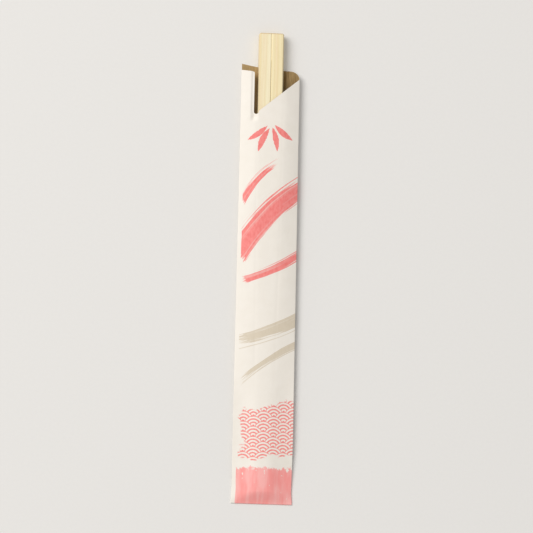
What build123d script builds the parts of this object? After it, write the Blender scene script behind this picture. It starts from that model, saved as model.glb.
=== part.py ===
from build123d import *

# A pair of disposable wooden chopsticks, still joined at the head, in its folded paper sleeve.
# Millimetres. The sleeve lies on its back: +Y runs from the tips to the head and +Z points up.
# The origin is the middle of the overall outline, on the surface that the sleeve lies on.

import os
from math import radians, sqrt, tan
from typing import NamedTuple

# Driving dimensions of the pair of sticks
pair_length = 203.0
head_width = 10.8  # over both sticks, where they are joined
head_thickness = 4.4
tips_width = 7.2  # over both tips
tip_thickness = 2.6
parallel_length = 70.0  # from the head end to where the taper starts
edge_chamfer = 0.5  # along the outer edges
tip_chamfer = 0.4
head_chamfer = 0.5
slit_width = 0.08
joined_length = 12.0  # left uncut at the head, on the top face
knife_radius = 55.0  # of the disc knife that slits the sticks apart
knife_lift = 27.5  # of that disc's centre over the top face
groove_depth = 0.3  # of the groove that guides the split, on both faces
groove_angle = 45.0  # of the groove's sides, from vertical

# Driving dimensions of the paper sleeve
paper = 0.1
flat_width = 26.4  # of the empty sleeve, pressed flat
seam_lap = 7.0  # where one back panel is glued over the other
end_slack = 4.5  # from the tips to the bottom crease
flap_length = 11.0  # of the sleeve's end, turned under the back and glued
flap_inset = 0.3  # of the flap's side edges from the creases
pressed_length = 1.0  # along the bottom crease, where the panels lie on each other
pressed_gap = 0.05  # between those panels, where the sleeve starts to open
paper_slack = 0.08  # from the wood to the paper, over the sticks and beside them
mouth_slack = 0.45  # over the sticks at their head, as the sleeve's mouth stands open

# The sleeve's mouth: places across the sleeve, and distances down from the head end
back_drop = 13.9  # back panel's top edge, at the left crease
tab_drop = 16.7  # top edge of the front's tab, to the left of the slot, at the left crease
edge_slope = 6.0  # of both edges, in degrees, falling to the right
tab_corner = 0.8
shoulder_x = 9.2  # where the back's edge starts to round over
crease_drop = 20.0  # where the back edge and the front edge meet, at the right crease
slant_angle = 40.0  # of the front edge, in degrees, falling from that crease to the slot
slot_x = -6.1  # middle of the round-ended slot
slot_radius = 1.1
slot_drop = 36.6

# Levels above the surface: the turned-under flap is two panels and the seam's third layer
lap_z = 3 * paper  # outer face of the back panel that laps over the other one
back_z = lap_z + paper  # outer face of the other back panel
seat_z = back_z + paper  # the sticks lie here

# Places along the length
overall_length = pair_length + end_slack
head_y = overall_length / 2
tips_y = head_y - pair_length
taper_y = head_y - parallel_length
bottom_y = -overall_length / 2
past_head_y = head_y + 5.0  # the sleeve's tube is made up to here, then cut to its mouth

# The back panels lie flat under the pair, and rise beside it to the creases
flat_band = head_width / 2 + paper_slack

os.makedirs("parts", exist_ok=True)


class StickStation(NamedTuple):
    """The pair's size at one place along it."""

    y: float
    width: float
    thickness: float


stick_tips = StickStation(tips_y, tips_width, tip_thickness)
stick_taper = StickStation(taper_y, head_width, head_thickness)
stick_head = StickStation(head_y, head_width, head_thickness)
stick_stations = (stick_tips, stick_taper, stick_head)


def stick_section(at):
    """The pair's cross-section: a strip with chamfered corners, on the sleeve's back."""
    with BuildSketch(Plane.XZ.offset(-at.y)) as section:
        with Locations((0, seat_z)):
            Rectangle(at.width, at.thickness, align=(Align.CENTER, Align.MIN))
        chamfer(section.vertices(), edge_chamfer)
    return section.sketch


def groove_section(at, face_z, into_wood):
    """The guide groove's cross-section: a V with a floor as wide as the slit."""
    groove_half_width = slit_width / 2 + groove_depth * tan(radians(groove_angle))
    with BuildSketch(Plane.XZ.offset(-at.y)) as section:
        with BuildLine():
            Polyline(
                (-groove_half_width, face_z),
                (-slit_width / 2, face_z + into_wood * groove_depth),
                (slit_width / 2, face_z + into_wood * groove_depth),
                (groove_half_width, face_z),
                close=True,
            )
        make_face()
    return section.sketch


# Chopstick pair: one strip of wood, tapered, grooved on both faces and slit up from the tips
with BuildPart() as chopstick_pair:
    loft([stick_section(station) for station in stick_stations], ruled=True)
    chamfer(chopstick_pair.faces().sort_by(Axis.Y)[0].edges(), tip_chamfer)
    chamfer(chopstick_pair.faces().sort_by(Axis.Y)[-1].edges(), head_chamfer)
    loft(
        [groove_section(station, seat_z, 1) for station in stick_stations],
        ruled=True,
        mode=Mode.SUBTRACT,
    )
    loft(
        [groove_section(station, seat_z + station.thickness, -1) for station in stick_stations],
        ruled=True,
        mode=Mode.SUBTRACT,
    )

    # The disc knife stands above the pair, so the slit ends in its arc, highest on the top face
    top_z = seat_z + head_thickness
    knife_y = head_y - joined_length - sqrt(knife_radius**2 - knife_lift**2)
    with BuildSketch(Plane.YZ):
        with Locations((knife_y, top_z + knife_lift)):
            Circle(knife_radius)
        with Locations((knife_y, top_z)):
            Rectangle(pair_length, 3 * head_thickness, align=(Align.MAX, Align.CENTER))
    extrude(amount=slit_width / 2, both=True, mode=Mode.SUBTRACT)
chopstick_pair.part.label = "chopstick_pair"
export_step(chopstick_pair.part, "parts/chopstick_pair.step")


class TubeStation(NamedTuple):
    """The outside of the sleeve's tube at one place along it."""

    y: float
    half_ridge: float
    ridge_z: float

    @property
    def crease_z(self):
        """The side creases stand half-way between the back and the ridge."""
        return (self.ridge_z + back_z) / 2

    @property
    def half_chord(self):
        """Half the distance between the creases: the panels keep their flat width."""
        slope = flat_width / 2 - self.half_ridge
        return self.half_ridge + sqrt(slope**2 - (self.ridge_z - self.crease_z) ** 2)


def over_sticks(at, slack=paper_slack):
    """The tube where the paper lies over the pair, with this slack on top of it."""
    return TubeStation(at.y, at.width / 2 + paper_slack, seat_z + at.thickness + slack + paper)


over_tips = over_sticks(stick_tips)
over_taper = over_sticks(stick_taper)
past_mouth = over_sticks(stick_head, mouth_slack)._replace(y=past_head_y)
pressed = TubeStation(bottom_y + pressed_length, over_tips.half_ridge, seat_z + pressed_gap + paper)
bottom = pressed._replace(y=bottom_y)


def outside(at):
    """Outline of the tube: the ridge over the sticks, two creases and the lapped back."""
    with BuildSketch(Plane.XZ.offset(-at.y)) as outline:
        with BuildLine():
            Polyline(
                (-at.half_ridge, at.ridge_z),
                (at.half_ridge, at.ridge_z),
                (at.half_chord, at.crease_z + paper),
                (at.half_chord, at.crease_z - paper),
                (flat_band, lap_z),
                (-seam_lap / 2, lap_z),
                (-seam_lap / 2, back_z),
                (-flat_band, back_z),
                (-at.half_chord, at.crease_z - paper),
                (-at.half_chord, at.crease_z + paper),
                close=True,
            )
        make_face()
    return outline.sketch


def hollow(at):
    """Outline of the space in the tube, with the seam's inner edge as a step in its floor."""
    with BuildSketch(Plane.XZ.offset(-at.y)) as outline:
        with BuildLine():
            Polyline(
                (-at.half_ridge, at.ridge_z - paper),
                (at.half_ridge, at.ridge_z - paper),
                (at.half_chord - paper, at.crease_z),
                (flat_band, back_z),
                (seam_lap / 2, back_z),
                (seam_lap / 2, seat_z),
                (-flat_band, seat_z),
                (paper - at.half_chord, at.crease_z),
                close=True,
            )
        make_face()
    return outline.sketch


def turned_under(at):
    """Outline of the flap: it follows the back panels, and starts half-way into their paper."""
    half_width = at.half_chord - flap_inset
    with BuildSketch(Plane.XZ.offset(-at.y)) as outline:
        with BuildLine():
            Polyline(
                (-half_width, at.crease_z - paper / 2),
                (-flat_band, back_z + paper / 2),
                (flat_band, back_z - paper / 2),
                (half_width, at.crease_z - paper / 2),
                (half_width, at.crease_z - paper - lap_z),
                (flat_band, 0),
                (-flat_band, 0),
                (-half_width, at.crease_z - paper - lap_z),
                close=True,
            )
        make_face()
    return outline.sketch


tube_stations = (past_mouth, over_taper, over_tips, pressed)
flap_stations = (over_taper, over_tips, pressed, bottom)

# The sleeve's end, turned under its back
with BuildPart() as flap:
    loft([turned_under(station) for station in flap_stations], ruled=True)
    split(bisect_by=Plane.XZ.offset(-bottom_y - flap_length), keep=Keep.TOP)

# Paper sleeve: one folded and glued sheet
with BuildPart() as paper_sleeve:
    loft([outside(station) for station in (*tube_stations, bottom)], ruled=True)
    loft([hollow(station) for station in tube_stations], ruled=True, mode=Mode.SUBTRACT)
    add(flap.part)

    # The layers turn under in a round fold
    fold_radius = bottom.ridge_z / 2
    with BuildSketch(Plane.YZ):
        with Locations((bottom_y + fold_radius, fold_radius)):
            Rectangle(4 * fold_radius, 4 * fold_radius, align=(Align.MAX, Align.CENTER))
            Circle(fold_radius, mode=Mode.SUBTRACT)
    extrude(amount=flat_width, both=True, mode=Mode.SUBTRACT)

    # Both panels end at the back panel's top edge, which rounds over to the right crease
    crease_x = past_mouth.half_chord
    crease_y = head_y - crease_drop
    edge_fall = tan(radians(edge_slope))
    with BuildSketch(Plane.XY.offset(-paper)):
        with BuildLine():
            top_edge = Line(
                (-flat_width, head_y - back_drop + (flat_width - crease_x) * edge_fall),
                (shoulder_x, head_y - back_drop - (shoulder_x + crease_x) * edge_fall),
            )
            shoulder = TangentArc(top_edge @ 1, (crease_x, crease_y), tangent=top_edge % 1)
            Polyline(
                shoulder @ 1,
                (flat_width, crease_y),
                (flat_width, past_head_y),
                (-flat_width, past_head_y),
                top_edge @ 0,
            )
        make_face()
    extrude(amount=past_mouth.ridge_z + 2 * paper, mode=Mode.SUBTRACT)

    # The front panel is cut lower: a tab, a round-ended slot and a slanting edge
    slot_left, slot_right = slot_x - slot_radius, slot_x + slot_radius
    slot_centre_y = head_y - slot_drop + slot_radius
    tab_y = head_y - tab_drop
    slant_low_y = crease_y - (crease_x - slot_right) * tan(radians(slant_angle))
    with BuildSketch(Plane.XY.offset(past_mouth.crease_z)):
        with BuildLine():
            tab = FilletPolyline(
                (-flat_width, tab_y + (flat_width - crease_x) * edge_fall),
                (slot_left, tab_y - (slot_left + crease_x) * edge_fall),
                (slot_left, slot_centre_y),
                radius=tab_corner,
            )
            slot_end = TangentArc(tab @ 1, (slot_right, slot_centre_y), tangent=tab % 1)
            Polyline(
                slot_end @ 1,
                (slot_right, slant_low_y),
                (crease_x, crease_y),
                (flat_width, crease_y),
                (flat_width, past_head_y),
                (-flat_width, past_head_y),
                tab @ 0,
            )
        make_face()
    extrude(amount=past_mouth.ridge_z, mode=Mode.SUBTRACT)
paper_sleeve.part.label = "paper_sleeve"
export_step(paper_sleeve.part, "parts/paper_sleeve.step")
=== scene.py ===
# A pair of disposable wooden chopsticks in its folded paper sleeve, lying on a pale floor.
# Sizes are millimetres in the frame's axes, and meshes are made in metres.

from math import cos, hypot, pi, radians, sin, tan
from typing import NamedTuple

import bpy
import numpy as np
from mathutils import Matrix, Vector
from mathutils.geometry import delaunay_2d_cdt


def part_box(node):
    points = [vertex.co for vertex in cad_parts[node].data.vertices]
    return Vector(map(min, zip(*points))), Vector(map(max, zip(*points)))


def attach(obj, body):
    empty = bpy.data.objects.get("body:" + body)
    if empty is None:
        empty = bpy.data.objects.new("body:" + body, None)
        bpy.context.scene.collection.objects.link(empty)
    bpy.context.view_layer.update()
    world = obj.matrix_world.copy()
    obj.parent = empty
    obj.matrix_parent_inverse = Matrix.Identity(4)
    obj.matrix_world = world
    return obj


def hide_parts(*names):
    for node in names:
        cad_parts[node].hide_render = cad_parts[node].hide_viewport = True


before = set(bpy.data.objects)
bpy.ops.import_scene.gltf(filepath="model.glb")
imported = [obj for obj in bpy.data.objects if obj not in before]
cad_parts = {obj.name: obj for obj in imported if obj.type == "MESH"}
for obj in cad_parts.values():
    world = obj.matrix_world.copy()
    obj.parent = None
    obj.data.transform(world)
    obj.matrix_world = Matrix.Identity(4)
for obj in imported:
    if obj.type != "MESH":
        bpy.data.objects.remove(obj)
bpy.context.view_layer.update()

MM = 0.001

# Places and sizes that the frame gives
pair_low, pair_high = (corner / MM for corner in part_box("chopstick_pair"))
sleeve_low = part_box("paper_sleeve")[0] / MM
head_y = pair_high.y
tips_y = pair_low.y
bottom_y = sleeve_low.y
seat_z = pair_low.z
head_width = pair_high.x - pair_low.x
head_thickness = pair_high.z - pair_low.z

# The rest of the pair, as the part's source has it
tips_width = 7.2
tip_thickness = 2.6
head_chamfer = 0.5
taper_y = head_y - 70.0

# The sleeve, as the part's source has it
paper = 0.1
flat_width = 26.4
seam_lap = 7.0
flap_length = 11.0
flap_inset = 0.3
paper_slack = 0.08
mouth_slack = 0.45
past_head_y = head_y + 5.0
back_drop = 13.9
tab_drop = 16.7
edge_slope = 6.0
tab_corner = 0.8
shoulder_x = 9.2
crease_drop = 20.0
slant_angle = 40.0
slot_x = -6.1
slot_radius = 1.1
slot_drop = 36.6
tab_slope = 9.0  # of the tab's top edge: the part's source has 6, but the photograph shows more

# Levels of the middle of each layer of paper, where the sleeve's end is pressed flat
left_back_z = seat_z - paper / 2
right_back_z = left_back_z - paper
pressed_z = seat_z + paper / 2
fold_z = 3 * paper  # axis about which the end turns under
fold_y = bottom_y + fold_z

# How the paper lies
shown_paper = 0.09  # thickness of the sheet's mesh, so that glued layers don't meet
crease_radius = 0.12  # of the middle of the paper, in the side creases
crease_rise = 30.0  # length over which the side creases rise from the pressed end
crease_open = 3.0  # from the bottom fold to where the side creases start to open
mouth_bend = 0.2  # softness of the bend over a stick's edge, at the mouth
tips_bend = 1.0  # and at the tips
back_bend = 0.8  # and of the bend where the back leaves the table
fall_start = 0.5  # before the tips' ends, where the front starts to come down
fall_softness = 0.4  # of the bends where it does
corner_spread = 5.5  # of the diagonal bends from the tips to the bottom corners
flap_start_run = 2.0  # over which the flap, past its fold, takes the back's form and its inset
least_radius = 0.001  # of the bottom fold, for the paper on its axis

# Marks of handling on the front
marks_run = 12.0  # from the bottom fold, over which those on the slopes and the sticks fade in
slope_bulge = 0.2  # of the slopes between the sticks and the creases
bulge_start = 25.0  # from the tips to where the slopes turn from hollow to full
bulge_run = 50.0
sticks_crown = 0.18  # height of the paper's arch over the sticks
slope_ripple = 0.13  # unevenness of the slopes
sticks_ripple = 0.018  # and over the sticks
left_seed = 0.4
right_seed = 1.9
sticks_seed = 3.3

# A narrow step in the tab, beside the slot
step_s = -8.75
step_width = 0.75
step_steepness = 0.5
step_softness = 0.1
step_spread = 2.0  # how much wider it is near its lower end
step_spread_above = 0.6  # from the dent's middle to the widest place
step_spread_run = 1.5
step_fade = 5.0  # length over which it fades out below the slot
tab_lean = 0.1  # steepness of the paper from the step to the slot
tab_lean_end = 0.2  # before the slot, where the step and the lean start to fade out

# A diagonal dent under the slot's end
dent_s = -7.2
dent_below = 3.0  # from the middle of the slot's round end
dent_angle = 30.0
dent_depth = 0.5
dent_width = 1.0
dent_length = 1.3

# The slanting edge stands a little off the wood
edge_lift = 0.06
edge_lift_run = 7.0  # down from the edge
edge_lift_s = -4.6  # it starts here, to the right of the slot
edge_lift_start_run = 2.0

# The wood's edges and the sheet's folds
weld_gap = 0.001  # joins the corners that neighbouring faces share
sanded_edge = 0.12
sanded_angle = 25.0  # edges sharper than this are sanded
sharp_angle = 50.0  # and in the paper, those sharper than this look sharp


def smooth(share):
    """An even start and end between 0 and 1."""
    share = np.clip(share, 0, 1)
    return share * share * (3 - 2 * share)


def hinge(distance, softness):
    """Nothing before a bend and the distance past it, with a soft change between."""
    return softness * np.logaddexp(0, distance / softness)


def hinge_slope(distance, softness):
    """How far a soft bend has turned, from 0 to 1."""
    return 1 / (1 + np.exp(-distance / softness))


# The sheet before it is folded: s runs across it from the middle of the front, v along it

crease_s = flat_width / 2
free_s = flat_width + seam_lap / 2
flap_end_v = bottom_y - flap_length
crease_v = head_y - crease_drop
edge_fall = tan(radians(edge_slope))
slot_left = slot_x - slot_radius
slot_right = slot_x + slot_radius
slot_centre_v = head_y - slot_drop + slot_radius
tab_v = head_y - tab_drop


def back_edge_v(x):
    """Top edge of the back panels, at this place across the back."""
    return head_y - back_drop - (x + crease_s) * edge_fall


graded_steps = 5000  # in which the gaps between places are added up
clear_margin = 0.03  # from the sheet's edges to the nearest inner point
ends_share = 0.002  # of an edge, too near to its ends for a point


def graded(*knots):
    """Places from the first knot to the last, as far apart as the knots say: (place, gap)."""
    places, gaps = zip(*knots)
    fine = np.linspace(places[0], places[-1], graded_steps)
    steps = np.gradient(fine) / np.interp(fine, places, gaps)
    count = np.concatenate(([0], np.cumsum((steps[1:] + steps[:-1]) / 2)))
    return np.interp(np.linspace(0, count[-1], round(count[-1]) + 1), count, fine)


def sheet_columns():
    """Places across the sheet, close together at its bends."""
    half = graded(
        (0, 0.9),
        (2.4, 0.5),
        (3.2, 0.22),  # the front's bends over the sticks, and the step in the tab
        (9.3, 0.22),
        (9.8, 0.5),
        (11.8, 0.5),
        (12.9, 0.08),  # the side crease
        (crease_s, 0.04),
        (13.5, 0.08),
        (14.6, 0.6),
        (flat_width - 7.4, 0.7),
        (flat_width - 6.4, 0.3),  # the back's bends beside the sticks
        (flat_width - 4.6, 0.3),
        (flat_width - 3.4, 1.0),
        (free_s, 1.2),
    )
    return np.concatenate((-half[:0:-1], half))


def sheet_rows():
    """Places along the sheet, close together where it turns under and at its mouth."""
    return graded(
        (flap_end_v, 1.0),
        (fold_y - 1.4, 0.3),
        (fold_y - 0.9, 0.06),  # the bottom fold
        (fold_y + 0.1, 0.06),
        (fold_y + 0.8, 0.3),
        (tips_y + 6, 0.5),  # the slope past the tips
        (tips_y + 20, 1.3),
        (slot_centre_v - 14, 1.3),
        (slot_centre_v - 6, 0.35),  # the dent and the slot's end
        (slot_centre_v - 1, 0.35),
        (slot_centre_v + 3, 0.6),
        (head_y - back_drop + 1, 0.6),
    )


def edge(start, end, columns, rows):
    """Points along a straight edge, up to its end, one at each column or row that it meets."""
    start, end = np.array(start, float), np.array(end, float)
    run = end - start
    axis = 0 if abs(run[0]) > abs(run[1]) / 3 else 1
    shares = ((columns, rows)[axis] - start[axis]) / run[axis]
    inner = np.sort(shares[(shares > ends_share) & (shares < 1 - ends_share)])
    return [start, *(start + share * run for share in inner)]


def tangent_arc(start, heading, end, count):
    """Points along the arc that leaves start in this direction, up to its end."""
    start, end = complex(*start), complex(*end)
    heading = complex(*heading) / abs(complex(*heading))
    chord = end - start
    normal = heading * 1j
    offset = (chord * normal.conjugate()).real
    centre = start + normal * abs(chord) ** 2 / (2 * offset)
    turn = 2 * np.angle(chord / heading)
    points = [centre + (start - centre) * np.exp(1j * turn * i / count) for i in range(count)]
    return [np.array((point.real, point.imag)) for point in points]


def blank_outline(columns, rows):
    """Outline of the sheet, from the flap's left corner and up its right side."""
    slant_low_v = crease_v - (crease_s - slot_right) * tan(radians(slant_angle))
    right_top = (free_s, back_edge_v(flat_width - free_s))
    shoulder = (flat_width - shoulder_x, back_edge_v(shoulder_x))
    right_crease = (crease_s, crease_v)
    slant_low = (slot_right, slant_low_v)
    slot_end = (slot_right, slot_centre_v)
    slot_start = (slot_left, slot_centre_v)
    tab_end_v = tab_v - (slot_left + crease_s) * tan(radians(tab_slope))
    corner_run = tab_corner * tan(radians(90 - tab_slope) / 2)
    corner_low = (slot_left, tab_end_v - corner_run)
    corner_high = (
        slot_left - corner_run * cos(radians(tab_slope)),
        tab_end_v + corner_run * sin(radians(tab_slope)),
    )
    tab_crease = (-crease_s, tab_v)
    left_crease = (-crease_s, back_edge_v(-crease_s))
    left_top = (-free_s, back_edge_v(free_s - flat_width))
    flap_left, flap_right = (-free_s, flap_end_v), (free_s, flap_end_v)
    return [
        *edge(flap_left, flap_right, columns, rows),
        *edge(flap_right, right_top, columns, rows),
        *edge(right_top, shoulder, columns, rows),
        *tangent_arc(shoulder, (-1, -edge_fall), right_crease, count=14),
        *edge(right_crease, slant_low, columns, rows),
        slant_low,
        *tangent_arc(slot_end, (0, -1), slot_start, count=16),
        *edge(slot_start, corner_low, columns, rows),
        *tangent_arc(corner_low, (0, 1), corner_high, count=6),
        *edge(corner_high, tab_crease, columns, rows),
        *edge(tab_crease, left_crease, columns, rows),
        *edge(left_crease, left_top, columns, rows),
        *edge(left_top, flap_left, columns, rows),
    ]


def clear_of(outline, points, margin):
    """Whether each point is at least this far from the outline."""
    kept = np.ones(len(points), bool)
    for start, end in zip(outline, np.roll(outline, -1, axis=0)):
        run = end - start
        share = np.clip((points - start) @ run / (run @ run), 0, 1)
        kept &= np.hypot(*(points - start - share[:, None] * run).T) > margin
    return kept


def within(outline, points):
    """Whether each point is inside the outline."""
    inside = np.zeros(len(points), bool)
    for start, end in zip(outline, np.roll(outline, -1, axis=0)):
        beside = (start[1] > points[:, 1]) != (end[1] > points[:, 1])
        share = (points[beside, 1] - start[1]) / (end[1] - start[1] or 1)
        inside[beside] ^= points[beside, 0] < start[0] + share * (end[0] - start[0])
    return inside


def blank_triangles():
    """The flat sheet as points (s, v) and triangles."""
    columns, rows = sheet_columns(), sheet_rows()
    outline = np.array(blank_outline(columns, rows))
    grid = np.stack(np.meshgrid(columns, rows), -1).reshape(-1, 2)
    grid = grid[within(outline, grid)]
    grid = grid[clear_of(outline, grid, clear_margin)]
    points = [Vector(point) for point in np.concatenate((outline, grid))]
    made = delaunay_2d_cdt(points, [], [range(len(outline))], 0, 1e-5, False)
    places, triangles = np.array(made[0]), np.array(made[2])
    triangles = triangles[within(outline, places[triangles].mean(axis=1))]
    used = np.unique(triangles)
    return places[used], np.searchsorted(used, triangles)


# The folded sleeve


class Panel(NamedTuple):
    """Half of a panel's section: flat over or under the sticks, then sloping to the crease."""

    level: np.ndarray
    crease_level: np.ndarray
    half_flat: np.ndarray
    bend: np.ndarray
    length: np.ndarray

    def sine(self):
        """Of the slope's angle, positive where it rises to the crease."""
        reach = hinge(self.length - self.half_flat, self.bend)
        return (self.crease_level - self.level) / reach

    def at(self, distance):
        """Across and up, at this distance along the paper from the panel's middle."""
        sine = self.sine()
        past = distance - self.half_flat
        risen = hinge(past, self.bend)
        lost = 1 - np.sqrt(1 - sine**2)
        across = distance - lost * (risen - self.bend * hinge_slope(past, self.bend))
        return across, self.level + sine * risen


def tips_share(v):
    """From 0 at the mouth to 1 at the tips."""
    return np.clip((tab_v - v) / (tab_v - tips_y), 0, 1)


def past_tips(v):
    """From 0 where the paper leaves the sticks to 1 where it is pressed flat."""
    start_v = tips_y + fall_start
    return np.clip((start_v - v) / (start_v - fold_y), 0, 1)


def tapered(head_size, tips_size, v):
    """A size of the pair of sticks, at this place along it."""
    share = np.clip((taper_y - v) / (taper_y - tips_y), 0, 1)
    return head_size + (tips_size - head_size) * share


def half_ridge(v):
    """From the middle of the sticks to where the paper starts to slope down beside them."""
    return tapered(head_width, tips_width, v) / 2 + paper_slack


def opening(v):
    """From 0 where the sticks start to taper to 1 past their head, where the sleeve is widest."""
    return np.clip((v - taper_y) / (past_head_y - taper_y), 0, 1)


def ridge_z(v):
    """Middle of the paper over the sticks."""
    slack = paper_slack + (mouth_slack - paper_slack) * opening(v)
    over_sticks = seat_z + tapered(head_thickness, tip_thickness, v) + slack + paper / 2
    past = past_tips(v)
    fallen = past + (smooth(past) - past) * fall_softness
    return over_sticks + (pressed_z - over_sticks) * fallen


def crease_z(v, level):
    """Middle of a side crease: half-way up the sleeve, and lower towards the pressed end."""
    half_way = (ridge_z(np.maximum(v, tips_y)) + level) / 2
    pressed = (pressed_z + level) / 2
    return pressed + (half_way - pressed) * smooth((v - fold_y) / crease_rise)


def fold_radius(v, level):
    """Radius of a side crease: the layers touch in the pressed end."""
    pressed = (pressed_z - level) / 2
    opened = smooth((v - fold_y - crease_open) / crease_rise)
    return pressed + (crease_radius - pressed) * opened


def back_level(s):
    """Middle of the back's paper: the right panel is glued under the left one."""
    return np.where(s < 0, left_back_z, right_back_z)


def back_panel(v, level):
    """The back's section, from its flat middle up to the side crease."""
    radius = fold_radius(v, level)
    return Panel(
        level=level,
        crease_level=crease_z(v, level) - radius,
        half_flat=head_width / 2 + paper_slack,
        bend=back_bend,
        length=crease_s - pi / 2 * radius,
    )


def front_panel(v, level):
    """The front's section, from over the sticks down to the side crease."""
    radius = fold_radius(v, level)
    return Panel(
        level=ridge_z(v),
        crease_level=crease_z(v, level) + radius,
        half_flat=half_ridge(v) + corner_spread * past_tips(v),
        bend=mouth_bend + (tips_bend - mouth_bend) * tips_share(v),
        length=crease_s - pi / 2 * radius,
    )


class Wave(NamedTuple):
    """One of the waves that add up to the paper's unevenness."""

    height: float
    length: float  # along the sleeve, for one radian
    slant: float
    phase: float


WAVES = (Wave(1.0, 9.7, 0.11, 1.0), Wave(0.7, 5.9, -0.17, 2.1), Wave(0.5, 3.1, 0.31, 3.7))


def ripple(s, v, seed):
    """A gentle unevenness between -1 and 1, the same each time."""
    total = sum(
        wave.height * np.sin(v / wave.length + wave.slant * s + wave.phase * seed)
        for wave in WAVES
    )
    return total / sum(wave.height for wave in WAVES)


def tab_step(s, v):
    """The tab steps in beside the slot, and the step fades out below the slot."""
    past_step = hinge(s - step_s, step_softness)
    from_widest = v - slot_centre_v + dent_below - step_spread_above
    width = step_width * (1 + step_spread * np.exp(-((from_widest / step_spread_run) ** 2)))
    step = past_step - hinge(s - step_s - width, step_softness)
    left_of_stick = 1 - smooth((s - slot_left + tab_lean_end) / (2 * slot_radius))
    faded_in = smooth((v - slot_centre_v + step_fade) / step_fade)
    return -(step_steepness * step + tab_lean * past_step) * left_of_stick * faded_in


def dent(s, v):
    """A slanting dent under the slot's end."""
    east, north = cos(radians(dent_angle)), sin(radians(dent_angle))
    from_s, from_v = s - dent_s, v - slot_centre_v + dent_below
    along = (from_s * east + from_v * north) / dent_length
    across = (from_v * east - from_s * north) / dent_width
    return -dent_depth * np.exp(-(along**2) - across**2)


def lifted_edge(s, v):
    """The slanting edge stands a little off the wood."""
    slant_v = crease_v - (crease_s - s) * tan(radians(slant_angle))
    near_edge = smooth(1 - (slant_v - v) / edge_lift_run)
    return edge_lift * near_edge * smooth((s - edge_lift_s) / edge_lift_start_run)


def front_shaping(s, v):
    """What handling has done to the front: how much it stands off its plain form."""
    slope_share = np.clip((abs(s) - half_ridge(v)) / (crease_s - half_ridge(v)), 0, 1)
    body = smooth((v - fold_y) / marks_run)
    fullness = slope_bulge * (2 * smooth((v - tips_y - bulge_start) / bulge_run) - 1)
    uneven = slope_ripple * ripple(s, v, np.where(s < 0, left_seed, right_seed))
    on_slopes = 4 * slope_share * (1 - slope_share) * body * (uneven + fullness)

    # The paper over the sticks is a little arched, and its sides come down where it has slack
    arch = sticks_crown * (1 - np.minimum(abs(s) / half_ridge(v), 1) ** 2 - opening(v))
    uneven = sticks_ripple * (1 + ripple(s, v, sticks_seed))
    on_sticks = (1 - smooth(slope_share * 4)) * (arch + uneven) * body

    lifted = lifted_edge(s, v) * (1 - slope_share)
    return on_slopes + on_sticks + tab_step(s, v) + dent(s, v) + lifted


def folded(s, v):
    """Where each point of the flat sheet lies in the sleeve: x, y and z."""
    level = back_level(s)
    station = np.maximum(v, fold_y)
    radius = fold_radius(station, level)
    front, back = front_panel(station, level), back_panel(station, level)
    distance = abs(s)
    turn_share = np.clip((distance - front.length) / (pi * radius), 0, 1)

    front_x, front_z = front.at(np.minimum(distance, front.length))
    front_z = front_z + np.where(turn_share > 0, 0, front_shaping(s, station))

    # In the crease the paper turns from the front's slope to the back's
    front_slope = -np.arcsin(front.sine())
    back_slope = np.arcsin(back.sine())
    heading = front_slope + turn_share * (pi - front_slope - back_slope)
    crease_start_x = front.at(front.length)[0]
    turned_x = crease_start_x + radius * (np.sin(heading) - np.sin(front_slope))
    turned_down = np.cos(front_slope) - np.cos(heading)
    dropped = turned_down / (np.cos(front_slope) + np.cos(back_slope))
    turned_z = front.crease_level - 2 * radius * dropped

    # The back is fitted to where the creases end
    back_x, back_z = back.at(flat_width - distance)
    crease_end_x = crease_start_x + radius * (np.sin(back_slope) - np.sin(front_slope))
    back_x = back_x * (crease_end_x / back.at(back.length)[0])
    x = np.where(turn_share <= 0, front_x, np.where(turn_share < 1, turned_x, back_x))
    z = np.where(turn_share <= 0, front_z, np.where(turn_share < 1, turned_z, back_z))
    return turned_under(np.copysign(1, s) * x, v, z)


def turned_under(x, v, z):
    """The sleeve's end turns under its back, and then lies along it."""
    height = z - fold_z
    angle = np.clip((fold_y - v) / np.maximum(abs(height), least_radius), 0, pi)
    beyond = np.maximum(fold_y - pi * abs(height) - v, 0)
    on_flap = smooth(beyond / flap_start_run)
    y = np.where(v > fold_y, v, fold_y - height * np.sin(angle) + beyond)
    back = back_panel(np.maximum(y, fold_y), left_back_z)
    rise = back.at(abs(x))[1] - left_back_z
    under_z = fold_z + height * np.cos(angle) + rise * on_flap
    under_x = x * (1 - flap_inset / crease_s * on_flap)
    return np.where(v < fold_y, under_x, x), y, np.where(v < fold_y, under_z, z)


# Shader nodes as arithmetic


class Field:
    """A number or a colour at each point of a surface."""

    def __init__(self, shader, socket):
        self.shader = shader
        self.socket = socket

    def __add__(self, other):
        return self.shader.calc("ADD", self, other)

    def __radd__(self, other):
        return self.shader.calc("ADD", other, self)

    def __sub__(self, other):
        return self.shader.calc("SUBTRACT", self, other)

    def __rsub__(self, other):
        return self.shader.calc("SUBTRACT", other, self)

    def __mul__(self, other):
        return self.shader.calc("MULTIPLY", self, other)

    def __rmul__(self, other):
        return self.shader.calc("MULTIPLY", other, self)

    def __truediv__(self, other):
        return self.shader.calc("DIVIDE", self, other)

    def __pow__(self, other):
        return self.shader.calc("POWER", self, other)

    def __abs__(self):
        return self.shader.calc("ABSOLUTE", self)


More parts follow.
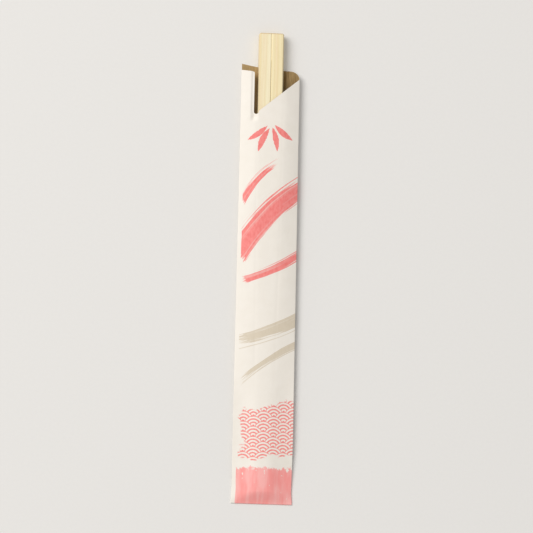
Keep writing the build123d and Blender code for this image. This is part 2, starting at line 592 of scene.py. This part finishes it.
class Shader:
    """One material, built node by node."""

    def __init__(self, name, roughness, specular):
        self.material = bpy.data.materials.new(name)
        self.material.use_nodes = True
        self.tree = self.material.node_tree
        self.surface = self.tree.nodes["Principled BSDF"]
        self.surface.inputs["Roughness"].default_value = roughness
        self.surface.inputs["Specular IOR Level"].default_value = specular

    def node(self, kind, **settings):
        """A new node of this kind."""
        made = self.tree.nodes.new(kind)
        for name, value in settings.items():
            setattr(made, name, value)
        return made

    def feed(self, socket, value):
        """Gives a socket its number, colour or field."""
        if isinstance(value, Field):
            self.tree.links.new(value.socket, socket)
        else:
            socket.default_value = value

    def calc(self, operation, *values):
        """The result of a Math node."""
        made = self.node("ShaderNodeMath", operation=operation)
        for socket, value in zip(made.inputs, values):
            self.feed(socket, value)
        return Field(self, made.outputs[0])

    def split(self, socket):
        """The three numbers of a vector."""
        made = self.node("ShaderNodeSeparateXYZ")
        self.tree.links.new(socket, made.inputs[0])
        return [Field(self, output) for output in made.outputs]

    def flat_place(self):
        """s and v on the flat sheet, in millimetres."""
        return self.split(self.node("ShaderNodeUVMap", uv_map="flat").outputs["UV"])[:2]

    def place(self):
        """x, y and z in the frame, in millimetres."""
        found = self.split(self.node("ShaderNodeTexCoord").outputs["Object"])
        return [field / MM for field in found]

    def normal(self):
        """Where the surface faces, as x, y and z in the frame."""
        return self.split(self.node("ShaderNodeTexCoord").outputs["Normal"])

    def noise(self, x, y, z=0.0, detail=2.0, roughness=0.5):
        """A cloudy pattern about 0.5, as coarse as 1 in the units of x, y and z."""
        point = self.node("ShaderNodeCombineXYZ")
        for socket, value in zip(point.inputs, (x, y, z)):
            self.feed(socket, value)
        made = self.node("ShaderNodeTexNoise")
        made.inputs["Scale"].default_value = 1.0
        made.inputs["Detail"].default_value = detail
        made.inputs["Roughness"].default_value = roughness
        self.tree.links.new(point.outputs[0], made.inputs["Vector"])
        return Field(self, made.outputs[0])

    def ramp(self, value, low, high):
        """From 0 at low to 1 at high, with soft ends."""
        made = self.node("ShaderNodeMapRange", interpolation_type="SMOOTHSTEP")
        self.feed(made.inputs["Value"], value)
        self.feed(made.inputs["From Min"], low)
        self.feed(made.inputs["From Max"], high)
        return Field(self, made.outputs[0])

    def most(self, *values):
        """The greatest of them at each point."""
        found = values[0]
        for value in values[1:]:
            found = self.calc("MAXIMUM", found, value)
        return found

    def mix(self, share, first, second):
        """From the first colour to the second as share goes from 0 to 1."""
        made = self.node("ShaderNodeMix", data_type="RGBA")
        self.feed(made.inputs["Factor"], share)
        self.feed(made.inputs["A"], first)
        self.feed(made.inputs["B"], second)
        return Field(self, made.outputs["Result"])

    def finish(self, colour, height, roughness=None):
        """Sets the colour, the height in millimetres and, where it varies, the roughness."""
        self.feed(self.surface.inputs["Base Color"], colour)
        if roughness is not None:
            self.feed(self.surface.inputs["Roughness"], roughness)
        bump = self.node("ShaderNodeBump")
        bump.inputs["Distance"].default_value = MM
        self.feed(bump.inputs["Height"], height)
        self.tree.links.new(bump.outputs[0], self.surface.inputs["Normal"])
        return self.material


def srgb(red, green, blue):
    """A colour as a picture shows it, from 0 to 255, for a node's socket."""
    linear = [
        part / 12.92 if part <= 0.04045 else ((part + 0.055) / 1.055) ** 2.4
        for part in (red / 255, green / 255, blue / 255)
    ]
    return (*linear, 1.0)


# Colours of the paper, its print, the wood and the floor

paper_white = srgb(248, 243, 235)
paper_cream = srgb(242, 236, 226)
paper_fleck = srgb(228, 220, 206)
core_white = srgb(255, 252, 246)
core_cream = srgb(246, 240, 230)
coral_thin = srgb(251, 146, 142)
coral_thick = srgb(244, 128, 125)
wash_thin = srgb(255, 184, 180)
wash_thick = srgb(254, 160, 156)
grey_thin = srgb(226, 214, 194)
grey_thick = srgb(213, 200, 178)
brown_pale = srgb(180, 152, 106)
brown_deep = srgb(126, 100, 57)
brown_middle = srgb(147, 122, 79)
# Painted light: a paler brown that lightens the inner face's left half
brown_painted_light = srgb(212, 183, 134)
wood_pale_left = srgb(254, 245, 213)
wood_pale_right = srgb(254, 243, 206)
wood_deep_left = srgb(244, 229, 186)
wood_deep_right = srgb(243, 226, 178)
wood_warm = srgb(247, 221, 188)
wood_fibre = srgb(226, 199, 146)
wood_pore = srgb(203, 172, 118)
# Painted shade for the sticks' outer sides
wood_side_painted_shade = srgb(212, 186, 138)
end_grain_pale = srgb(228, 206, 164)
end_grain_deep = srgb(205, 180, 134)
floor_pale = srgb(238, 237, 235)
floor_deep = srgb(235, 234, 232)


# The sleeve's print, in place on the flat sheet


class Stroke(NamedTuple):
    """A stroke of a flat brush, which dries out towards its end."""

    start: tuple
    end: tuple
    width: float
    bend: float
    dryness: float
    seed: float


CORAL_STROKES = (
    Stroke((-13.5, 4.0), (24.0, 41.0), 9.5, 3.5, 0.34, 1.0),
    Stroke((-11.0, -7.0), (25.0, 14.0), 3.4, -2.5, 0.42, 2.0),
    Stroke((-12.0, 27.0), (3.0, 45.0), 3.0, 1.5, 0.5, 3.0),
)
GREY_STROKES = (
    Stroke((27.0, -14.0), (-12.5, -33.0), 5.6, 2.5, 0.36, 4.0),
    Stroke((25.0, -29.0), (-10.0, -50.0), 3.0, -2.0, 0.45, 5.0),
)
LEAVES = (
    Stroke((-1.0, 62.0), (-10.0, 55.5), 2.6, 0.6, 0.1, 6.0),
    Stroke((0.0, 61.0), (-5.0, 50.0), 2.8, -0.7, 0.1, 7.0),
    Stroke((1.0, 61.5), (3.4, 50.5), 2.6, 0.5, 0.1, 8.0),
    Stroke((2.0, 62.5), (10.5, 56.0), 2.8, -0.6, 0.1, 9.0),
)
margin_s = 1.6 - crease_s  # the print stops short of the left crease
margin_softness = 0.25

# The patch of wave scales, and how far its ragged edges wander
scales_low_v = -84.0
scales_high_v = -61.0
scales_left_s = -10.5
scales_edge = 1.2  # softness
scales_lean = 0.25  # of the top edge
low_wander = 10.0
high_wander = 14.0
left_wander = 9.0
scale_radius = 4.4
rings_per_scale = 3.2
outer_ring = 0.3  # where the outermost ring stands in its pitch

# The wash over the sleeve's end
wash_v = -88.0
wash_edge = 0.9  # softness
wash_wander = 9.0
fewer_voids_run = 9.0  # down from its top edge


def stroke_axes(s, v, stroke):
    """Along the stroke in millimetres, and across it where 1 is its edge."""
    run = (stroke.end[0] - stroke.start[0], stroke.end[1] - stroke.start[1])
    length = hypot(*run)
    east, north = run[0] / length, run[1] / length
    from_s, from_v = s - stroke.start[0], v - stroke.start[1]
    along = from_s * east + from_v * north
    share = along / length
    off = from_v * east - from_s * north - share * (1 - share) * (4 * stroke.bend)
    return along, off / (stroke.width / 2), length


def brushed(shader, s, v, stroke):
    """Ink that a dry brush leaves: thin in streaks, ragged at its edges, with loose hairs."""
    along, across, length = stroke_axes(s, v, stroke)
    share = along / length

    # Each bristle keeps to its lane, and the lanes wander a little
    wander = shader.noise(along * 0.06, stroke.seed * 7.3) - 0.5
    lane = across * (stroke.width / 2) + wander * 0.9
    bristles = shader.noise(lane * 1.3, along * 0.03, stroke.seed, detail=3.0, roughness=0.65)
    bristles = shader.ramp(bristles, 0.3, 0.7)
    streaks = shader.noise(lane * 1.9, along * 0.022, stroke.seed + 0.5, detail=2.0)
    hairs = shader.noise(lane * 2.2, along * 0.015, stroke.seed + 0.3, detail=1.0)

    # The ink runs out at the stroke's edges and towards its end
    dried = shader.ramp(share, 0.25, 1.05) * stroke.dryness
    middle = 1 - abs(across + wander * 0.3) ** 3
    body = shader.ramp(bristles * 0.55 + middle * 0.5 - dried, 0.2, 0.3)

    # Loose hairs draw fine lines beside it, and its start and end are ragged
    beside = shader.ramp(across, 0.9, 1.0) * shader.ramp(across, 1.6, 1.35)
    loose = shader.ramp(hairs, 0.56, 0.62) * beside * shader.ramp(share, 0.15, 0.4)
    begun = shader.ramp(along + bristles * 2.5, 2.2, 3.0)
    ended = shader.ramp(along + bristles * 9, length + 3.5, length + 5.0)
    thin = shader.ramp(streaks, 0.52, 0.7) * 0.38
    return shader.most(body, loose) * begun * (1 - ended) * (1 - thin)


def leaf(shader, s, v, stroke):
    """Ink of one pressed dab of the brush, pointed at both ends."""
    along, across, length = stroke_axes(s, v, stroke)
    share = along / length
    rough = shader.noise(s * 1.1, v * 1.1, stroke.seed, detail=1.0) - 0.5
    belly = share * (1 - share) * 4
    return shader.ramp(belly - abs(across) + rough * 0.4, 0.0, 0.12)


def scale_distance(shader, s, v):
    """Wave scales: distance to the middle of the scale on top, in scale radii."""
    row_height = scale_radius / 2
    row = shader.calc("FLOOR", v / row_height)

    def to_middle(step):
        middle_row = row + step
        shift = shader.calc("FLOORED_MODULO", middle_row, 2.0) * scale_radius
        past = shader.calc("FLOORED_MODULO", s + shift, 2.0 * scale_radius) - scale_radius
        up = v - middle_row * row_height
        return shader.calc("SQRT", past * past + up * up) / scale_radius

    lowest, middle, highest = to_middle(-1.0), to_middle(0.0), to_middle(1.0)
    inside_middle = shader.calc("LESS_THAN", middle, 1.0)
    inside_lowest = shader.calc("LESS_THAN", lowest, 1.0)
    upper = highest + (middle - highest) * inside_middle
    return upper + (lowest - upper) * inside_lowest


def wave_scales(shader, s, v):
    """Ink of traditional wave scales, in a patch with a ragged, brushed edge."""
    distance = scale_distance(shader, s, v)
    ring = shader.calc("PINGPONG", distance * rings_per_scale + outer_ring, 0.5)
    rough = shader.noise(s * 0.9, v * 0.9, 21.0, detail=3.0)
    lines = shader.ramp(ring + (rough - 0.5) * 0.25, 0.22, 0.3)
    ragged = shader.noise(s * 0.16, v * 0.16, 22.0, detail=3.0) - 0.5
    above = shader.ramp(v + ragged * low_wander, scales_low_v, scales_low_v + scales_edge)
    from_top = v + ragged * high_wander - s * scales_lean
    below = shader.ramp(from_top, scales_high_v, scales_high_v - scales_edge)
    right = shader.ramp(s + ragged * left_wander, scales_left_s, scales_left_s + scales_edge)
    return lines * above * below * right


def wash(shader, s, v):
    """Ink of the wash over the sleeve's end, with a ragged top edge."""
    ragged = shader.noise(s * 0.35, v * 0.18, 31.0, detail=4.0, roughness=0.6) - 0.5
    voids = shader.noise(s * 0.5, v * 0.3, 32.0, detail=3.0, roughness=0.6)
    body = shader.ramp(v + ragged * wash_wander, wash_v, wash_v - wash_edge)
    near_edge = shader.ramp(v, wash_v - fewer_voids_run, wash_v)
    return body * (1 - shader.ramp(voids + near_edge * 0.08, 0.69, 0.72))


def paper_outside():
    """White paper with the print."""
    shader = Shader("paper_outside", roughness=0.62, specular=0.3)
    s, v = shader.flat_place()
    cloud = shader.noise(s * 0.22, v * 0.22, 41.0, detail=3.0)
    fibre = shader.noise(s * 5.0, v * 3.2, 42.0, detail=4.0, roughness=0.65)
    white = shader.mix(cloud, paper_white, paper_cream)
    white = shader.mix(shader.ramp(fibre, 0.6, 0.8) * 0.35, white, paper_fleck)

    strokes = shader.most(*(brushed(shader, s, v, stroke) for stroke in CORAL_STROKES))
    leaves = shader.most(*(leaf(shader, s, v, stroke) for stroke in LEAVES))
    grey = shader.most(*(brushed(shader, s, v, stroke) for stroke in GREY_STROKES))
    from_margin = s + (cloud - 0.5) * 0.5
    on_print = shader.ramp(from_margin, margin_s, margin_s + margin_softness)
    scales = wave_scales(shader, s, v)
    ended = wash(shader, s, v)

    # Ink lies thicker in places, along the way that the brush went
    drag = shader.noise(s * 1.1, v * 0.5, 43.0, detail=3.0)
    coral = shader.mix(shader.ramp(drag, 0.35, 0.7), coral_thin, coral_thick)
    pooled = shader.noise(s * 0.2, v * 0.05, 47.0) * 0.7
    pooled = pooled + shader.noise(s * 0.9, v * 0.15, 45.0, detail=3.0) * 0.3
    wash_coral = shader.mix(shader.ramp(pooled, 0.4, 0.6), wash_thin, wash_thick)
    warm_grey = shader.mix(drag, grey_thin, grey_thick)

    inked = shader.mix(grey * on_print * 0.95, white, warm_grey)
    inked = shader.mix(scales * on_print * 0.92, inked, coral)
    inked = shader.mix(ended * on_print, inked, wash_coral)
    inked = shader.mix(shader.most(strokes, leaves) * on_print, inked, coral)
    height = fibre * 0.012 + shader.noise(s * 0.5, v * 0.5, 44.0) * 0.05
    return shader.finish(inked, height, 0.68 - cloud * 0.12)


def paper_inside():
    """The brown inner face, with fine streaks along the sheet, and painted light that makes its
    left half paler.
    """
    shader = Shader("paper_inside", roughness=0.7, specular=0.25)
    s, v = shader.flat_place()
    streaks = shader.noise(s * 1.5, v * 0.08, 51.0, detail=4.0, roughness=0.7)
    cloud = shader.noise(s * 0.3, v * 0.2, 52.0, detail=2.0)
    brown = shader.mix(shader.ramp(streaks, 0.35, 0.62), brown_pale, brown_deep)
    brown = shader.mix(cloud * 0.4, brown, brown_middle)
    # Painted light: the inner face's left half is made paler
    brown = shader.mix(shader.ramp(s, 3.0, -3.0) * 0.5, brown, brown_painted_light)
    return shader.finish(brown, streaks * 0.01, 0.72 - cloud * 0.1)


def paper_edge():
    """The cut edge shows the paper's white core."""
    shader = Shader("paper_edge", roughness=0.8, specular=0.2)
    s, v = shader.flat_place()
    fibre = shader.noise(s * 6.0, v * 6.0, 61.0, detail=3.0)
    return shader.finish(shader.mix(fibre, core_white, core_cream), fibre * 0.01)


def pale_wood():
    """Sanded pale wood: bands and fibres along the sticks, and darker end grain."""
    shader = Shader("pale_wood", roughness=0.55, specular=0.3)
    x, y, z = shader.place()

    # The grain wanders along the sticks, and isn't the same in both
    wander = shader.noise(x * 0.05, y * 0.012, z * 0.05, detail=2.0) - 0.5
    right_stick = shader.ramp(x, -0.1, 0.1)
    across = x + wander * 5 + right_stick * 37
    bands = shader.noise(across * 0.8, y * 0.004, z * 0.5, detail=3.0, roughness=0.6)
    fibres = shader.noise(across * 6.0, y * 0.09, z * 6.0, detail=3.0, roughness=0.7)
    pores = shader.noise(across * 9.0, y * 0.5, z * 9.0, detail=2.0)
    pale = shader.mix(right_stick, wood_pale_left, wood_pale_right)
    deep = shader.mix(right_stick, wood_deep_left, wood_deep_right)
    colour = shader.mix(shader.ramp(bands, 0.3, 0.7), pale, deep)
    warm = shader.noise(across * 0.5, y * 0.01, z * 0.3 + 9.0, detail=2.0)
    colour = shader.mix(shader.ramp(warm, 0.45, 0.65) * 0.4, colour, wood_warm)
    colour = shader.mix(shader.ramp(fibres, 0.45, 0.8) * 0.45, colour, wood_fibre)
    colour = shader.mix(shader.ramp(pores, 0.62, 0.74) * 0.35, colour, wood_pore)

    # The sticks' outer sides are darkened where they face sideways, as painted shade, and their
    # ends show end grain as far as the chamfers
    outer_side_painted_shade = shader.ramp(abs(shader.normal()[0]), 0.35, 0.8) * shader.ramp(abs(x), 0.8, 1.2)
    colour = shader.mix(outer_side_painted_shade * 0.55, colour, wood_side_painted_shade)
    from_end = abs(y - (head_y + tips_y) / 2) - (head_y - tips_y) / 2
    end_grain = shader.ramp(from_end, -head_chamfer - 0.06, -head_chamfer + 0.06)
    rings = shader.noise(x * 2.2 + z * 0.8, 0.0, z * 0.6, detail=3.0)
    colour = shader.mix(end_grain, colour, shader.mix(rings, end_grain_pale, end_grain_deep))
    height = fibres * 0.03 + bands * 0.03 + pores * 0.01
    return shader.finish(colour, height, 0.5 + fibres * 0.15)


# Pieces


def paper_sleeve():
    """The folded sheet, with its thickness, in place of the plain sleeve."""
    places, triangles = blank_triangles()
    points = np.stack(folded(*places.T), -1) * MM
    mesh = bpy.data.meshes.new("folded_paper_sleeve")
    mesh.from_pydata(points.tolist(), [], triangles.tolist())
    corners = np.zeros(len(mesh.loops), int)
    mesh.loops.foreach_get("vertex_index", corners)
    mesh.uv_layers.new(name="flat").uv.foreach_set("vector", places[corners].ravel())
    for material in (paper_outside(), paper_inside(), paper_edge()):
        mesh.materials.append(material)

    sleeve = bpy.data.objects.new("folded_paper_sleeve", mesh)
    bpy.context.scene.collection.objects.link(sleeve)
    solid = sleeve.modifiers.new("paper", "SOLIDIFY")
    solid.thickness = shown_paper * MM
    solid.offset = 0
    solid.material_offset = 1
    solid.material_offset_rim = 2
    depsgraph = bpy.context.evaluated_depsgraph_get()
    thick = bpy.data.meshes.new_from_object(sleeve.evaluated_get(depsgraph))
    sleeve.modifiers.clear()
    sleeve.data = thick
    thick.shade_smooth()
    thick.set_sharp_from_angle(angle=radians(sharp_angle))
    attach(sleeve, "root")
    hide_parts("paper_sleeve")
    return sleeve


def chopstick_pair():
    """The frame's own pair, with its edges sanded and its grain."""
    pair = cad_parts["chopstick_pair"]
    pair.data.materials[0] = pale_wood()
    weld = pair.modifiers.new("weld", "WELD")
    weld.merge_threshold = weld_gap * MM
    sanding = pair.modifiers.new("sanded_edges", "BEVEL")
    sanding.width = sanded_edge * MM
    sanding.segments = 3
    sanding.limit_method = "ANGLE"
    sanding.angle_limit = radians(sanded_angle)
    sanding.harden_normals = True
    return pair


def floor():
    """A wide, pale, matt floor."""
    reach = 8.0
    mesh = bpy.data.meshes.new("floor")
    corners = [(-reach, -reach, 0), (reach, -reach, 0), (reach, reach, 0), (-reach, reach, 0)]
    mesh.from_pydata(corners, [], [(0, 1, 2, 3)])
    shader = Shader("floor", roughness=0.9, specular=0.1)
    x, y, _ = shader.place()
    speckle = shader.noise(x * 0.8, y * 0.8, detail=2.0)
    speckled = shader.mix(speckle, floor_pale, floor_deep)
    mesh.materials.append(shader.finish(speckled, speckle * 0.01))
    made = bpy.data.objects.new("floor", mesh)
    bpy.context.scene.collection.objects.link(made)


def area_light(name, place, aim, size, power, colour):
    """A soft light that faces its aim. Places are metres."""
    data = bpy.data.lights.new(name, "AREA")
    data.shape = "DISK"
    data.size = size
    data.energy = power
    data.color = colour
    light = bpy.data.objects.new(name, data)
    light.location = place
    light.rotation_mode = "QUATERNION"
    light.rotation_quaternion = (Vector(aim) - Vector(place)).to_track_quat("-Z", "Y")
    bpy.context.scene.collection.objects.link(light)


def studio():
    """Soft light from the upper left, and a pale surrounding."""
    area_light(
        "key",
        place=(-1.9, 0.9, 2.38),
        aim=(0, 0, 0),
        size=2.3,
        power=68.0,
        colour=(1.0, 0.975, 0.945),
    )
    world = bpy.data.worlds.new("surrounding")
    world.use_nodes = True
    background = world.node_tree.nodes["Background"]
    background.inputs["Color"].default_value = (1.0, 0.985, 0.965, 1.0)
    background.inputs["Strength"].default_value = 0.49
    bpy.context.scene.world = world
    bpy.context.scene.view_settings.view_transform = "Standard"


# The photograph looks down on the sleeve from its lower end, a little from the left
camera_lean = 5.0  # degrees to the left of the sleeve's normal
camera_elevation = 79.0
object_lean = 1.2  # degrees clockwise in the picture
lens = 300.0
object_share = 0.88  # of the picture's height


def camera():
    """A long lens at the photograph's angle, with the object in the middle."""
    back = Vector((-tan(radians(camera_lean)), -1 / tan(radians(camera_elevation)), 1)).normalized()
    up = Vector((-tan(radians(object_lean)), 1, 0))
    right = up.cross(back).normalized()
    up = back.cross(right)
    data = bpy.data.cameras.new("camera")
    data.lens = lens
    middle = Vector((0, (head_y + bottom_y) / 2, head_thickness / 2)) * MM
    picture_height = (head_y - bottom_y) * MM * up.y / object_share
    distance = picture_height * lens / data.sensor_width
    made = bpy.data.objects.new("camera", data)
    facing = Matrix((right, up, back)).transposed().to_4x4()
    made.matrix_world = Matrix.Translation(middle + back * distance) @ facing
    data.clip_start = distance * 0.01
    data.clip_end = 100.0
    bpy.context.scene.collection.objects.link(made)
    bpy.context.scene.camera = made


camera()
studio()
floor()
chopstick_pair()
paper_sleeve()
